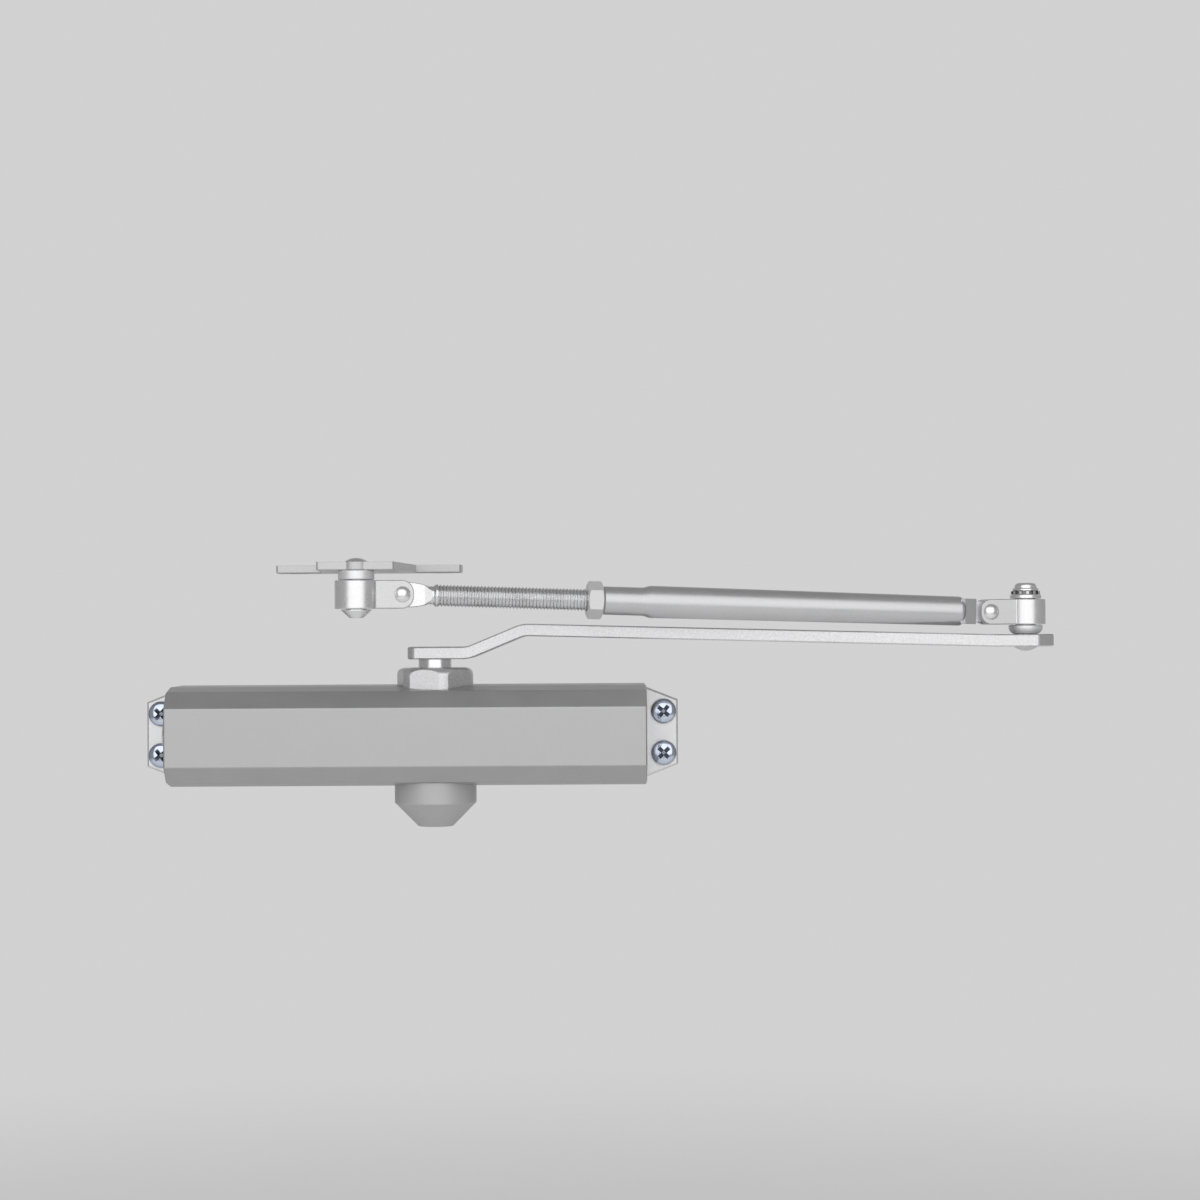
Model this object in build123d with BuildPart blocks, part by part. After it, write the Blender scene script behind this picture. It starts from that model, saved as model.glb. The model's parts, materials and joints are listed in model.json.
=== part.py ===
from build123d import *
from math import acos, atan2, cos, degrees, hypot, pi, radians, sin, tan
import os

# Hydraulic door closer with a regular arm, fitted as a parallel arm, door closed.
# X runs along the door, Y into the door and Z up. The door face is the plane Y = 0,
# and the origin is the middle of the four mounting holes. Sizes are in millimetres.

# Clearances
fit_gap = 0.02  # radial, a fixed piece in its hole
running_gap = 0.03  # radial, a shaft or piston in its bore
face_gap = 0.25  # between flat faces that turn or slide past each other
free_gap = 1.5  # round things that only have to pass

# Housing section, front to back
body_length = 213.6
body_depth = 54.0
front_face_height = 26.0
front_bevel_depth = 7.3
crest_height = 44.6
crest_fall = 2.0  # from the crest to the front bevel
crest_setback = 18.0
back_fall = 1.6  # from the crest to the door face
back_bevel = 2.0
front_edge_radius = 0.9
crest_radius = 7.0
end_chamfer = 0.6

# Screw ears at the ends of the back
ear_length = 14.9
ear_thickness = 8.0
ear_tip_height = 29.6
ear_chamfer = 0.8
ear_hole_offset = 8.3

# Mounting screws: a plain shank in the ear, the thread behind it
mount_spacing_z = 19.05
mount_screw_radius = 3.0
mount_shank_radius = 3.2
mount_screw_grip = 14.0
mount_head_radius = 5.8
mount_head_height = 3.4
mount_head_dome = 2.2
mount_hole_clearance = 0.25

# Bore, pinion and piston
bore_radius = 16.0
pinion_x = 11.7
pinion_teeth = 9
gear_module = 2.0
pressure_angle = 25.0
tooth_addendum = 1.5
tooth_dedendum = 1.9
tooth_backlash = 0.2
tooth_foot_sink = 0.7  # into the root circle
pinion_tooth_length = 21.6
journal_radius = 8.0
stub_radius = 7.5
drive_square = 10.0
arm_opening = 125.0  # degrees from the door closed to the stop
piston_head_length = 14.0
piston_edge_chamfer = 1.0

# Bearing nuts, the same above and below
nut_across_flats = 32.0
nut_turned_radius = 17.4
nut_height = 9.7
nut_edge_round = 3.5
nut_spigot_radius = 13.0
nut_angle = 16.2  # degrees that a corner is turned from the front
spot_face_depth = 1.7
spot_face_radius = 17.8
cap_spot_radius = 18.6
bearing_outer_radius = 11.0
seal_height = 2.4
nut_lip = 0.9

# Cap under the body
cap_radius = 18.4
cap_cone_height = 10.7
cap_tip_radius = 7.85
cap_floor = 1.4
cap_edge_radius = 0.6

# End plugs, spring and force screw
plug_radius = 17.0
plug_length = 14.0
plug_groove_width = 3.0
plug_groove_depth = 2.0
plug_socket_flats = 14.0
plug_socket_depth = 5.0
power_screw_radius = 4.0
power_screw_length = 42.0
power_head_flats = 10.0
power_head_length = 4.0
power_collar_radius = 7.0
power_collar_length = 3.0
spring_seat_hub = 6.0
spring_seat_thickness = 6.0
spring_seat_setback = 5.0
spring_wire_radius = 2.0
spring_coil_radius = 12.5
spring_turns = 8.5
spring_end_gap = 0.3

# Check valve in the piston head
check_seat_radius = 5.0
check_seat_length = 8.0
check_hole_radius = 1.6
check_ball_radius = 3.0
check_pocket_radius = 3.3

# Speed valves in the right end face
valve_wall = 1.5  # beyond the plug radius, across the bore
valve_offset_z = 12.0
valve_head_radius = 3.4
valve_head_length = 4.0
valve_head_depth = 1.5
valve_stem_radius = 2.4
valve_stem_length = 18.0
valve_tip_length = 3.0
valve_tip_radius = 0.6
valve_seal_groove = 1.8
valve_seal_depth = 0.9
valve_slot_width = 1.0
valve_slot_depth = 1.2

# Main arm, a cranked flat bar
arm_thickness = 5.5
arm_width_pinion = 23.0
arm_width_elbow = 22.0
arm_standoff = 3.9  # above the bearing nut
arm_start = 11.6
arm_bend_start = 15.6
arm_bend_end = 40.4
arm_crank_rise = 10.2
arm_level_length = 14.0
arm_end = 12.1
arm_elbow_drop = 5.95
arm_bend_radius = 12.0
arm_pinion_corner = 2.9
arm_elbow_corner = 7.5
arm_edge_chamfer = 0.5
arm_screw_head_radius = 7.7
arm_screw_head_height = 1.5
arm_screw_sink = 1.7
arm_screw_radius = 3.0
arm_screw_length = 12.0
arm_screw_socket = 4.0
square_shortfall = 0.3

# Elbow: axis, and the stack on the end of the arm
elbow_x = 277.2
elbow_y = -34.0
elbow_stud_radius = 4.5
elbow_rivet_radius = 5.4
elbow_rivet_height = 2.0
elbow_spacer_radius = 7.6
elbow_spacer_height = 4.1
elbow_knuckle_radius = 8.9
elbow_knuckle_height = 11.3
elbow_ear_half = 6.4
elbow_ear_reach = 22.5
elbow_pin_reach = 17.8
elbow_slot = 5.2
elbow_washer_radius = 7.1
elbow_washer_height = 2.0
elbow_washer_round = 0.9
lock_washer_radius = 6.5
lock_washer_height = 1.3
lock_washer_teeth = 12
lock_washer_tooth_depth = 1.6
elbow_screw_band_radius = 5.9
elbow_screw_band_height = 1.4
elbow_screw_dome_radius = 5.0
elbow_screw_dome_height = 2.3
elbow_screw_dome_round = 1.8
elbow_screw_socket_flats = 4.0
elbow_screw_socket_depth = 2.2
spacer_edge = 0.6
spacer_foot_round = 3.2
washer_edge = 0.4
lock_washer_gap = 2.05

# Shoe: axis, and the stack under the bracket
shoe_x = -18.8
shoe_y = -80.0
bracket_bottom = 73.3
bracket_thickness = 3.6
shoe_stud_radius = 4.5
shoe_rivet_radius = 5.2
shoe_rivet_height = 1.8
shoe_rivet_sink = 1.2
shoe_spacer_radius = 7.85
shoe_spacer_height = 4.1
shoe_knuckle_radius = 9.35
shoe_knuckle_height = 12.3
shoe_ear_half = 4.75
shoe_ear_reach = 24.5
shoe_pin_reach = 19.6
shoe_slot = 4.2
shoe_screw_length = 10.0
shoe_cone_radius = 6.6
shoe_cone_rim = 0.5
shoe_cone_height = 3.7
shoe_cone_tip_radius = 2.9
shoe_socket_flats = 4.0
shoe_socket_depth = 3.0

# Pins of both knuckles
pin_radius = 2.75
pin_head_radius = 3.5
pin_head_height = 1.7
knuckle_edge = 0.5
stud_thread_radius = 3.0
stud_thread_depth = 12.0

# Forearm: rod, lock nut and tube on one axis between the two pins
rod_radius = 4.83
rod_eye_radius = 5.6
rod_eye_shoulder = 8.0
rod_flat_end = 9.5
rod_neck_start = 11.4
rod_neck_end = 13.7
rod_neck_radius = 3.95
rod_thread_start = 14.6
rod_end_chamfer = 1.0
rod_engagement = 45.0
rod_travel = 20.0
lock_nut_start = 81.0
lock_nut_length = 6.7
lock_nut_flats = 14.4
lock_nut_chamfer = 0.7
lock_nut_tilt = 6.0
tube_neck_radius = 6.2
tube_neck_length = 17.0
tube_swage_length = 4.9
tube_start_radius = 7.1
tube_end_radius = 6.5
tube_end_setback = 11.2
tube_end_round = 2.4
tube_flat_setback = 6.3
tube_flat_height = 11.2
tube_flat_start_half = 4.9
tube_flat_end_half = 3.9
tang_radius = 4.5
tube_mouth_chamfer = 0.6
tang_gap = 0.15

# Bracket plate
bracket_nose_y = -85.8
bracket_nose_width = 33.3
bracket_neck_width = 43.0
bracket_flange_width = 84.0
bracket_flange_front = -20.0
bracket_flange_back = -3.0
bracket_lobe_radius = 6.9
bracket_corner = 1.2
bracket_edge = 0.4
bracket_hole_radius = 2.6
bracket_sink_radius = 5.0
flange_hole_spacing = 66.0
neck_hole_spacing = 22.0
neck_hole_y = -42.0

# Sizes that follow from the ones above
body_end = body_length / 2
ear_end = body_end + ear_length
mount_spacing_x = body_length + 2 * ear_hole_offset
bevel_depth = body_depth - front_bevel_depth
bevel_height = crest_height - 2 * crest_fall
crest_depth = body_depth - crest_setback
back_height = crest_height - 2 * back_fall
bore_y = -body_depth / 2
pitch_radius = gear_module * pinion_teeth / 2
tip_radius = pitch_radius + tooth_addendum
root_radius = pitch_radius - tooth_dedendum
rack_pitch = pi * gear_module
piston_travel = pitch_radius * radians(arm_opening)
piston_radius = bore_radius - running_gap
slot_left = pinion_x - tip_radius - free_gap
slot_right = pinion_x + tip_radius + free_gap + piston_travel
piston_left = slot_left - piston_head_length
piston_right = slot_right + piston_head_length
rack_pitch_y = bore_y - pitch_radius
rack_root_y = rack_pitch_y - tooth_dedendum
slot_back_y = bore_y + tip_radius + free_gap / 2
spot_face_height = crest_height / 2 - spot_face_depth
nut_top = spot_face_height + nut_height
nut_spigot_bottom = bore_radius + face_gap
nut_cavity_top = nut_top - nut_lip
seal_bottom = nut_cavity_top - face_gap - seal_height
bearing_bottom = nut_spigot_bottom + face_gap
bearing_height = seal_bottom - face_gap - bearing_bottom
cap_rim_depth = nut_top
cap_tip_depth = cap_rim_depth + cap_cone_height
arm_bottom = nut_top + arm_standoff
arm_top = arm_bottom + arm_thickness
square_top = arm_top - arm_screw_sink - square_shortfall
arm_length = hypot(elbow_x - pinion_x, elbow_y - bore_y)
arm_yaw = degrees(atan2(elbow_y - bore_y, elbow_x - pinion_x))
arm_middle = arm_bottom + arm_thickness / 2
elbow_arm_bottom = arm_bottom + arm_crank_rise - arm_elbow_drop
elbow_arm_top = elbow_arm_bottom + arm_thickness
elbow_spacer_top = elbow_arm_top + elbow_spacer_height
elbow_knuckle_bottom = elbow_spacer_top + face_gap
elbow_knuckle_top = elbow_knuckle_bottom + elbow_knuckle_height
elbow_stud_top = elbow_knuckle_top + face_gap
elbow_pin_z = elbow_knuckle_bottom + elbow_knuckle_height / 2
lock_washer_bottom = elbow_stud_top + elbow_washer_height
elbow_screw_seat = lock_washer_bottom + lock_washer_height
elbow_screw_top = elbow_screw_seat + elbow_screw_band_height + elbow_screw_dome_height
bracket_top = bracket_bottom + bracket_thickness
shoe_spacer_bottom = bracket_bottom - shoe_spacer_height
shoe_knuckle_top = shoe_spacer_bottom - face_gap
shoe_knuckle_bottom = shoe_knuckle_top - shoe_knuckle_height
shoe_stud_bottom = shoe_knuckle_bottom - face_gap
shoe_pin_z = shoe_knuckle_bottom + shoe_knuckle_height / 2
lock_nut_end = lock_nut_start + lock_nut_length
tube_start = lock_nut_end + face_gap
rod_end = tube_start + rod_engagement
nut_corner = lock_nut_flats / 2 / cos(pi / 6)
neck_end = tube_start + tube_neck_length
barrel_start = neck_end + tube_swage_length
swage_middle = (neck_end + barrel_start) / 2
eye_half = shoe_slot / 2 - tang_gap
tang_half = elbow_slot / 2 - tang_gap
cap_inner_radius = nut_turned_radius + fit_gap
spring_seat_x = -body_end + plug_length + spring_seat_setback
rack_tooth_flank = tooth_dedendum * tan(radians(pressure_angle))
rack_tooth_foot = rack_pitch / 2 - tooth_backlash + 2 * rack_tooth_flank
rack_tooth_count = int((slot_right - slot_left) / rack_pitch)
rack_tooth_places = [
    (pinion_x + (count - 0.5) * rack_pitch, rack_root_y)
    for count in range(-1, rack_tooth_count - 1)
]
valve_offset_y = plug_radius + valve_wall
valve_places = [
    (bore_y - valve_offset_y, valve_offset_z),
    (bore_y - valve_offset_y, -valve_offset_z),
    (bore_y + valve_offset_y, valve_offset_z),
]
valve_hole_depth = valve_head_depth + valve_head_length + valve_stem_length + face_gap
bracket_flange_middle = (bracket_flange_front + bracket_flange_back) / 2
bracket_hole_places = [
    (shoe_x + side * spacing / 2, hole_y, bracket_bottom)
    for spacing, hole_y in (
        (flange_hole_spacing, bracket_flange_middle), (neck_hole_spacing, neck_hole_y))
    for side in (-1, 1)
]

# Plan directions of the forearm, from the shoe to the elbow, and of its cross pins
forearm_heading = Vector(elbow_x - shoe_x, elbow_y - shoe_y, 0).normalized()
pin_heading = forearm_heading.cross(Vector(0, 0, 1))
shoe_centre = Vector(shoe_x, shoe_y, 0)
elbow_centre = Vector(elbow_x, elbow_y, 0)
shoe_pin_point = shoe_centre + forearm_heading * shoe_pin_reach + Vector(0, 0, shoe_pin_z)
elbow_pin_point = elbow_centre - forearm_heading * elbow_pin_reach + Vector(0, 0, elbow_pin_z)
forearm_span = (elbow_pin_point - shoe_pin_point).length
forearm_line = (elbow_pin_point - shoe_pin_point).normalized()
tube_end = forearm_span - tube_end_setback
flat_end = forearm_span - tube_flat_setback

# Planes: the side view and the top view along the forearm, and the side of the arm
forearm_side = Plane(shoe_pin_point, x_dir=forearm_line, z_dir=pin_heading)
forearm_plan = Plane(shoe_pin_point, x_dir=forearm_line, z_dir=forearm_side.y_dir)
forearm_axis = Axis(shoe_pin_point, forearm_line)
arm_plan = Plane.XY.move(Location((pinion_x, bore_y, 0), (0, 0, arm_yaw)))
arm_side = Plane(arm_plan.origin, x_dir=arm_plan.x_dir, z_dir=-arm_plan.y_dir)
bore_section = Plane(origin=(0, bore_y, 0), x_dir=(0, 1, 0), z_dir=(1, 0, 0))


def section_at(x):
    """Plane across the bore at x, with its local x along Y and its local y along Z."""
    return bore_section.offset(x)


def forearm_section(along):
    """Plane across the forearm, at a distance from the shoe pin."""
    return Plane(forearm_side.origin + forearm_line * along,
                 x_dir=pin_heading, z_dir=forearm_line)


def level_at(x, y, z):
    """Level plane with its origin at the given point."""
    return Plane(origin=(x, y, z), x_dir=(1, 0, 0), z_dir=(0, 0, 1))


def hexagon(across_flats, turned=0.0):
    """Hexagon in the current sketch, from its size across flats."""
    return RegularPolygon(across_flats / 2, 6, major_radius=False, rotation=turned)


def turned_ring(label, centre, bottom, height, outer, inner, edge=0.0, foot=0.0):
    """Plain ring with a vertical axis, its top rim rounded by edge, its lower one by foot."""
    with BuildPart() as ring:
        with BuildSketch(level_at(centre.X, centre.Y, bottom)):
            Circle(outer)
        extrude(amount=height)
        rims = ring.edges().filter_by(GeomType.CIRCLE).sort_by(Axis.Z)
        for rim, rounding in zip(rims, (foot, edge)):
            if rounding:
                fillet(rim, radius=rounding)
        with BuildSketch(level_at(centre.X, centre.Y, bottom)):
            Circle(inner)
        extrude(amount=height, mode=Mode.SUBTRACT)
    ring.part.label = label
    return ring.part


def rivet_head(point, outwards, radius, height):
    """Low round head, a slice of a ball, standing on point."""
    ball_radius = (radius ** 2 + height ** 2) / (2 * height)
    with BuildPart() as head:
        with Locations(point + outwards * (height - ball_radius)):
            Sphere(ball_radius)
        split(bisect_by=Plane(point, z_dir=outwards), keep=Keep.TOP)
    return head.part


def below(part, label):
    """The same piece under the body, mirrored in the level plane of the bore."""
    copy = mirror(part, about=Plane.XY)
    copy.label = label
    return copy


def forked_knuckle(label, centre, heading, bottom, height, radius, ear_half, reach,
                   pin_reach, slot, stud_radius, tang_radius):
    """Round boss on an upright stud, with a forked ear for a flat eye on a cross pin."""
    base = Plane(centre + Vector(0, 0, bottom), x_dir=heading, z_dir=(0, 0, 1))
    side = Plane(base.origin, x_dir=heading, z_dir=-base.y_dir)
    slot_start = pin_reach - tang_radius - free_gap / 2
    with BuildPart() as knuckle:
        with BuildSketch(base):
            Circle(radius)
            Rectangle(reach, 2 * ear_half, align=(Align.MIN, Align.CENTER))
        extrude(amount=height)
        with BuildSketch(side) as outline:
            with Locations((-radius, 0)):
                Rectangle(radius + reach, height, align=Align.MIN)
            ear_corners = outline.vertices().sort_by(Axis.X)[-2:]
            fillet(ear_corners, radius=height / 2 - 2 * knuckle_edge)
        extrude(amount=radius, both=True, mode=Mode.INTERSECT)
        fillet(knuckle.edges(), radius=knuckle_edge)
        with BuildSketch(base):
            with Locations((slot_start, 0)):
                Rectangle(reach, slot, align=(Align.MIN, Align.CENTER))
            Circle(stud_radius + running_gap)
        extrude(amount=height, mode=Mode.SUBTRACT)
        with BuildSketch(side):
            with Locations((pin_reach, height / 2)):
                Circle(pin_radius + fit_gap)
        extrude(amount=radius, both=True, mode=Mode.SUBTRACT)
    knuckle.part.label = label
    return knuckle.part


def cross_pin(label, point, ear_half):
    """Riveted pin through a knuckle's ears, with a domed head on each side."""
    across = Plane(point, x_dir=(0, 0, 1), z_dir=pin_heading)
    with BuildPart() as pin:
        with BuildSketch(across):
            Circle(pin_radius)
        extrude(amount=ear_half, both=True)
        for side in (-1, 1):
            outwards = pin_heading * side
            add(rivet_head(point + outwards * ear_half, outwards, pin_head_radius, pin_head_height))
    pin.part.label = label
    return pin.part


# Housing: an eight-sided section with a flat ear plate across its back
with BuildPart() as housing:
    with BuildSketch(Plane.YZ.offset(-body_end)):
        with BuildLine():
            Polyline(
                (0, 0),
                (0, back_height / 2),
                (-back_bevel, crest_height / 2),
                (-crest_depth, crest_height / 2),
                (-bevel_depth, bevel_height / 2),
                (-body_depth, front_face_height / 2),
                (-body_depth, 0),
            )
            mirror(about=Plane.XZ)
        make_face()
    extrude(amount=body_length)
    crests = housing.edges().filter_by(Axis.X).group_by(Axis.Y)[2]
    fillet(crests, radius=crest_radius)
    front_edges = housing.edges().filter_by(Axis.X).group_by(Axis.Y)[:2]
    fillet(front_edges[0] + front_edges[1], radius=front_edge_radius)
    chamfer(housing.faces().filter_by(Axis.X).edges(), length=end_chamfer)
    with BuildSketch(Plane.XZ):
        with BuildLine():
            Polyline(
                (0, back_height / 2),
                (body_end, back_height / 2),
                (ear_end, ear_tip_height / 2),
                (ear_end, -ear_tip_height / 2),
                (body_end, -back_height / 2),
                (0, -back_height / 2),
            )
            mirror(about=Plane.YZ)
        make_face()
    extrude(amount=ear_thickness)
    ear_rims = [
        edge for face in housing.faces().filter_by(Axis.Y) for edge in face.edges()
        if abs(face.center().Y + ear_thickness) < end_chamfer
        and abs(edge.center().X) > body_end + end_chamfer
    ]
    chamfer(ear_rims, length=ear_chamfer)
    # Bore with a wider seat for the plug at each end
    with BuildSketch(section_at(-body_end)):
        Circle(bore_radius)
    extrude(amount=body_length, mode=Mode.SUBTRACT)
    with BuildSketch(section_at(-body_end), section_at(body_end - plug_length)):
        Circle(plug_radius)
    extrude(amount=plug_length, mode=Mode.SUBTRACT)
    # Upright hole for the two bearing nuts, with a spot face above and below
    with BuildSketch(level_at(pinion_x, bore_y, -crest_height / 2)):
        Circle(nut_spigot_radius + fit_gap)
    extrude(amount=crest_height, mode=Mode.SUBTRACT)
    with BuildSketch(level_at(pinion_x, bore_y, spot_face_height)):
        Circle(spot_face_radius)
    extrude(amount=crest_height, mode=Mode.SUBTRACT)
    with BuildSketch(level_at(pinion_x, bore_y, -spot_face_height)):
        Circle(cap_spot_radius)
    extrude(amount=-crest_height, mode=Mode.SUBTRACT)
    # Mounting holes through the ears
    with BuildSketch(Plane.XZ):
        with GridLocations(mount_spacing_x, mount_spacing_z, 2, 2):
            Circle(mount_shank_radius + mount_hole_clearance)
    extrude(amount=ear_thickness, mode=Mode.SUBTRACT)
    # Stepped holes of the three speed valves
    for valve_y, valve_z in valve_places:
        with BuildSketch(section_at(body_end)):
            with Locations((valve_y - bore_y, valve_z)):
                Circle(valve_head_radius + running_gap)
        extrude(amount=-(valve_head_depth + valve_head_length + face_gap), mode=Mode.SUBTRACT)
        with BuildSketch(section_at(body_end)):
            with Locations((valve_y - bore_y, valve_z)):
                Circle(valve_stem_radius + running_gap)
        extrude(amount=-valve_hole_depth, mode=Mode.SUBTRACT)
housing.part.label = "housing"

with BuildPart() as mounting_screws:
    with BuildSketch(Plane.XZ):
        with GridLocations(mount_spacing_x, mount_spacing_z, 2, 2):
            Circle(mount_screw_radius)
    extrude(amount=-mount_screw_grip)
    with BuildSketch(Plane.XZ):
        with GridLocations(mount_spacing_x, mount_spacing_z, 2, 2):
            Circle(mount_shank_radius)
    extrude(amount=ear_thickness)
    with BuildSketch(Plane.XZ.offset(ear_thickness)):
        with GridLocations(mount_spacing_x, mount_spacing_z, 2, 2):
            Circle(mount_head_radius)
    extrude(amount=mount_head_height)
    head_rims = mounting_screws.faces().sort_by(Axis.Y)[:4].edges()
    fillet(head_rims, radius=mount_head_dome)
mounting_screws.part.label = "mounting_screws"

# Bearing nut over the top hole: a turned hexagon with a threaded spigot below
with BuildPart() as top_bearing_nut:
    with BuildSketch(level_at(pinion_x, bore_y, spot_face_height)):
        Circle(nut_turned_radius)
    extrude(amount=nut_height)
    fillet(top_bearing_nut.faces().sort_by(Axis.Z)[-1].edges(), radius=nut_edge_round)
    with BuildSketch(level_at(pinion_x, bore_y, spot_face_height)):
        hexagon(nut_across_flats, nut_angle - 90)
    extrude(amount=nut_height, mode=Mode.INTERSECT)
    with BuildSketch(level_at(pinion_x, bore_y, nut_spigot_bottom)):
        Circle(nut_spigot_radius)
    extrude(amount=spot_face_height - nut_spigot_bottom)
    with BuildSketch(level_at(pinion_x, bore_y, nut_spigot_bottom)):
        Circle(bearing_outer_radius + fit_gap)
    extrude(amount=nut_cavity_top - nut_spigot_bottom, mode=Mode.SUBTRACT)
    with BuildSketch(level_at(pinion_x, bore_y, nut_cavity_top)):
        Circle(journal_radius + face_gap)
    extrude(amount=nut_lip, mode=Mode.SUBTRACT)
top_bearing_nut.part.label = "top_bearing_nut"
bottom_bearing_nut = below(top_bearing_nut.part, "bottom_bearing_nut")

pinion_centre = Vector(pinion_x, bore_y, 0)
upper_bearing = turned_ring("upper_bearing", pinion_centre, bearing_bottom, bearing_height,
                            bearing_outer_radius, journal_radius + running_gap)
upper_seal = turned_ring("upper_seal", pinion_centre, seal_bottom, seal_height,
                         bearing_outer_radius, journal_radius + running_gap)
lower_bearing = below(upper_bearing, "lower_bearing")
lower_seal = below(upper_seal, "lower_seal")

# Pinion: nine involute teeth between two journals, a square drive at each end
base_radius = pitch_radius * cos(radians(pressure_angle))
middle_radius = (base_radius + tip_radius) / 2
tooth_foot = root_radius - tooth_foot_sink
tooth_half_angle = pi / (2 * pinion_teeth) - tooth_backlash / (2 * pitch_radius)


def flank_point(radius, side):
    """Point on a tooth flank at the given radius, for a tooth that points along +x."""
    start = tan(radians(pressure_angle)) - radians(pressure_angle)
    slope = acos(base_radius / radius)
    angle = side * (tooth_half_angle + start - (tan(slope) - slope))
    return radius * cos(angle), radius * sin(angle)


with BuildSketch() as tooth:
    with BuildLine():
        lower = ThreePointArc(flank_point(base_radius, -1), flank_point(middle_radius, -1),
                              flank_point(tip_radius, -1))
        upper = ThreePointArc(flank_point(base_radius, 1), flank_point(middle_radius, 1),
                              flank_point(tip_radius, 1))
        ThreePointArc(lower @ 1, (tip_radius, 0), upper @ 1)
        Polyline(lower @ 0, (tooth_foot, (lower @ 0).Y), (tooth_foot, (upper @ 0).Y), upper @ 0)
    make_face()

with BuildPart() as pinion:
    with BuildSketch(level_at(pinion_x, bore_y, 0)):
        Circle(root_radius)
        with PolarLocations(0, pinion_teeth, start_angle=-90):
            add(tooth.sketch)
    extrude(amount=pinion_tooth_length / 2, both=True)
    with BuildSketch(level_at(pinion_x, bore_y, pinion_tooth_length / 2)):
        Circle(root_radius)
    extrude(amount=nut_spigot_bottom - pinion_tooth_length / 2)
    with BuildSketch(level_at(pinion_x, bore_y, nut_spigot_bottom)):
        Circle(journal_radius)
    extrude(amount=nut_top - nut_spigot_bottom)
    with BuildSketch(level_at(pinion_x, bore_y, nut_top)):
        Circle(stub_radius)
    extrude(amount=arm_bottom - nut_top)
    with BuildSketch(arm_plan.offset(arm_bottom)):
        Rectangle(drive_square, drive_square)
    extrude(amount=square_top - arm_bottom)
    mirror(about=Plane.XY)
    with BuildSketch(level_at(pinion_x, bore_y, square_top)):
        Circle(arm_screw_radius)
    extrude(amount=-arm_screw_length - free_gap, mode=Mode.SUBTRACT)
pinion.part.label = "pinion"

# Cap under the body: a thin cup that clips over the lower nut
with BuildPart() as pinion_cap:
    with BuildSketch(Plane(pinion_centre, x_dir=(1, 0, 0), z_dir=(0, -1, 0))):
        with BuildLine():
            Polyline(
                (cap_inner_radius, -spot_face_height),
                (cap_radius, -spot_face_height),
                (cap_radius, -cap_rim_depth),
                (cap_tip_radius, -cap_tip_depth),
                (0, -cap_tip_depth),
                (0, -cap_tip_depth + cap_floor),
                (cap_tip_radius - cap_floor, -cap_tip_depth + cap_floor),
                (cap_inner_radius, -cap_rim_depth),
                close=True,
            )
        make_face()
    revolve(axis=Axis(pinion_centre, (0, 0, 1)))
    cap_rims = pinion_cap.edges().filter_by(GeomType.CIRCLE).filter_by_position(
        Axis.Z, -cap_tip_depth, -cap_rim_depth).sort_by(SortBy.RADIUS)
    fillet([cap_rims[-1], pinion_cap.faces().sort_by(Axis.Z)[0].edges()[0]], radius=cap_edge_radius)
pinion_cap.part.label = "pinion_cap"

# Piston: two heads joined by the rack in front and a wall behind, round the pinion
with BuildPart() as piston:
    with BuildSketch(section_at(piston_left)):
        Circle(piston_radius)
    extrude(amount=piston_right - piston_left)
    chamfer(piston.edges().filter_by(GeomType.CIRCLE), length=piston_edge_chamfer)
    with BuildSketch(Plane.XY):
        with BuildLine():
            Polyline(
                (slot_left, rack_root_y),
                (slot_right, rack_root_y),
                (slot_right, slot_back_y),
                (slot_left, slot_back_y),
                close=True,
            )
        make_face()
        with Locations(*rack_tooth_places):
            Trapezoid(rack_tooth_foot, tooth_dedendum + tooth_addendum, 90 - pressure_angle,
                      align=(Align.CENTER, Align.MIN), mode=Mode.SUBTRACT)
    extrude(amount=bore_radius, both=True, mode=Mode.SUBTRACT)
    with BuildSketch(section_at(piston_right)):
        Circle(check_seat_radius + fit_gap)
    extrude(amount=-check_seat_length, mode=Mode.SUBTRACT)
    with BuildSketch(section_at(slot_right)):
        Circle(check_hole_radius)
    extrude(amount=piston_head_length, mode=Mode.SUBTRACT)
piston.part.label = "piston"

# Check valve: a drilled seat pressed into the head, with the ball trapped in its pocket
check_seat_start = piston_right - check_seat_length
check_pocket_length = 2 * check_ball_radius + face_gap
with BuildPart() as check_seat:
    with BuildSketch(section_at(check_seat_start)):
        Circle(check_seat_radius)
    extrude(amount=check_seat_length)
    with BuildSketch(section_at(check_seat_start)):
        Circle(check_pocket_radius)
    extrude(amount=check_pocket_length, mode=Mode.SUBTRACT)
    with BuildSketch(section_at(check_seat_start)):
        Circle(check_hole_radius)
    extrude(amount=check_seat_length, mode=Mode.SUBTRACT)
check_seat.part.label = "check_seat"

with BuildPart() as check_ball:
    with Locations((check_seat_start + check_pocket_length / 2, bore_y, 0)):
        Sphere(check_ball_radius)
check_ball.part.label = "check_ball"


def end_plug(label, outer_x, inwards, hole_radius, socket_depth):
    """Threaded plug in one end of the bore: seal groove, centre hole, hexagon socket."""
    groove_x = outer_x + inwards * (plug_length - 2 * plug_groove_width)
    with BuildPart() as plug:
        with BuildSketch(section_at(outer_x)):
            Circle(plug_radius - fit_gap)
        extrude(amount=inwards * plug_length)
        chamfer(plug.edges().filter_by(GeomType.CIRCLE), length=end_chamfer)
        with BuildSketch(section_at(groove_x)):
            Circle(plug_radius)
            Circle(plug_radius - plug_groove_depth, mode=Mode.SUBTRACT)
        extrude(amount=inwards * plug_groove_width, mode=Mode.SUBTRACT)
        if socket_depth:
            with BuildSketch(section_at(outer_x)):
                hexagon(plug_socket_flats)
            extrude(amount=inwards * socket_depth, mode=Mode.SUBTRACT)
        if hole_radius:
            with BuildSketch(section_at(outer_x)):
                Circle(hole_radius)
            extrude(amount=inwards * plug_length, mode=Mode.SUBTRACT)
    plug.part.label = label
    return plug.part


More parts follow.
